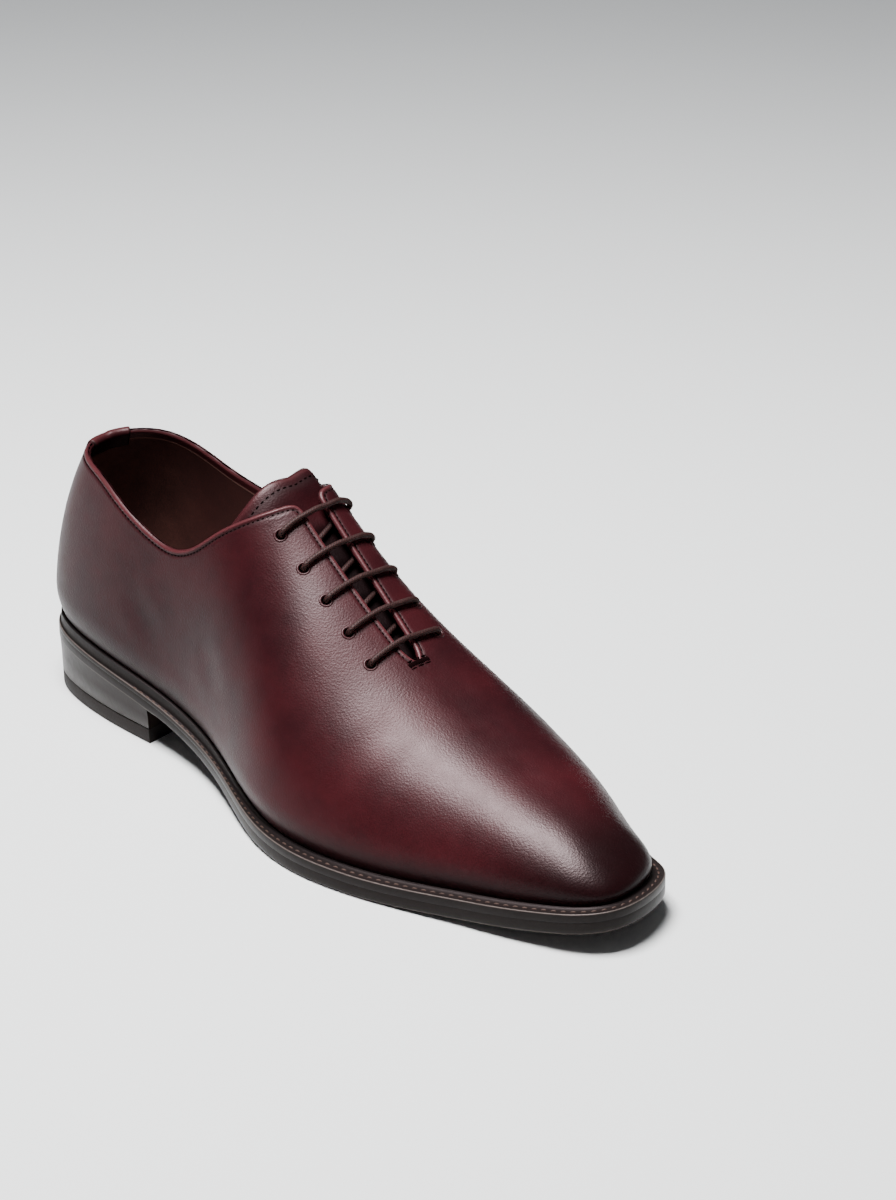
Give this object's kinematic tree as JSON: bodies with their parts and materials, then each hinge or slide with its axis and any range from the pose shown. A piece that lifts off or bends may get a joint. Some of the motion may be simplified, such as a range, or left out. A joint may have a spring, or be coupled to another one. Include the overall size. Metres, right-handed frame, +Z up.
{
  "type": "plain-toe oxford shoe",
  "caption": "Men's whole-cut plain-toe oxford for the right foot: burgundy calf upper with closed lacing, tongue, welt, leather sole and low heel.",
  "frame": {"origin": "on the floor under the middle of the shoe's bounding box", "axes": "+X from heel to toe, +Y to the inner side of the foot, +Z up"},
  "size_m": [0.3042, 0.1054, 0.1172],
  "materials": {
    "upper": "polished burgundy calf",
    "tongue": "burgundy calf",
    "insole": "dark brown lining leather",
    "welt": "dark brown, satin",
    "outsole": "dark polished edge",
    "heel": "dark polished edge",
    "top_lift": "matte",
    "lace": "round waxed cotton"
  },
  "bodies": {
    "root": {"upper": "upper", "tongue": "tongue", "heel_strip": "upper", "insole": "insole", "welt": "welt", "outsole": "outsole", "heel_stack": "heel", "top_lift": "top_lift", "lace": "lace"}
  },
  "joints": []
}
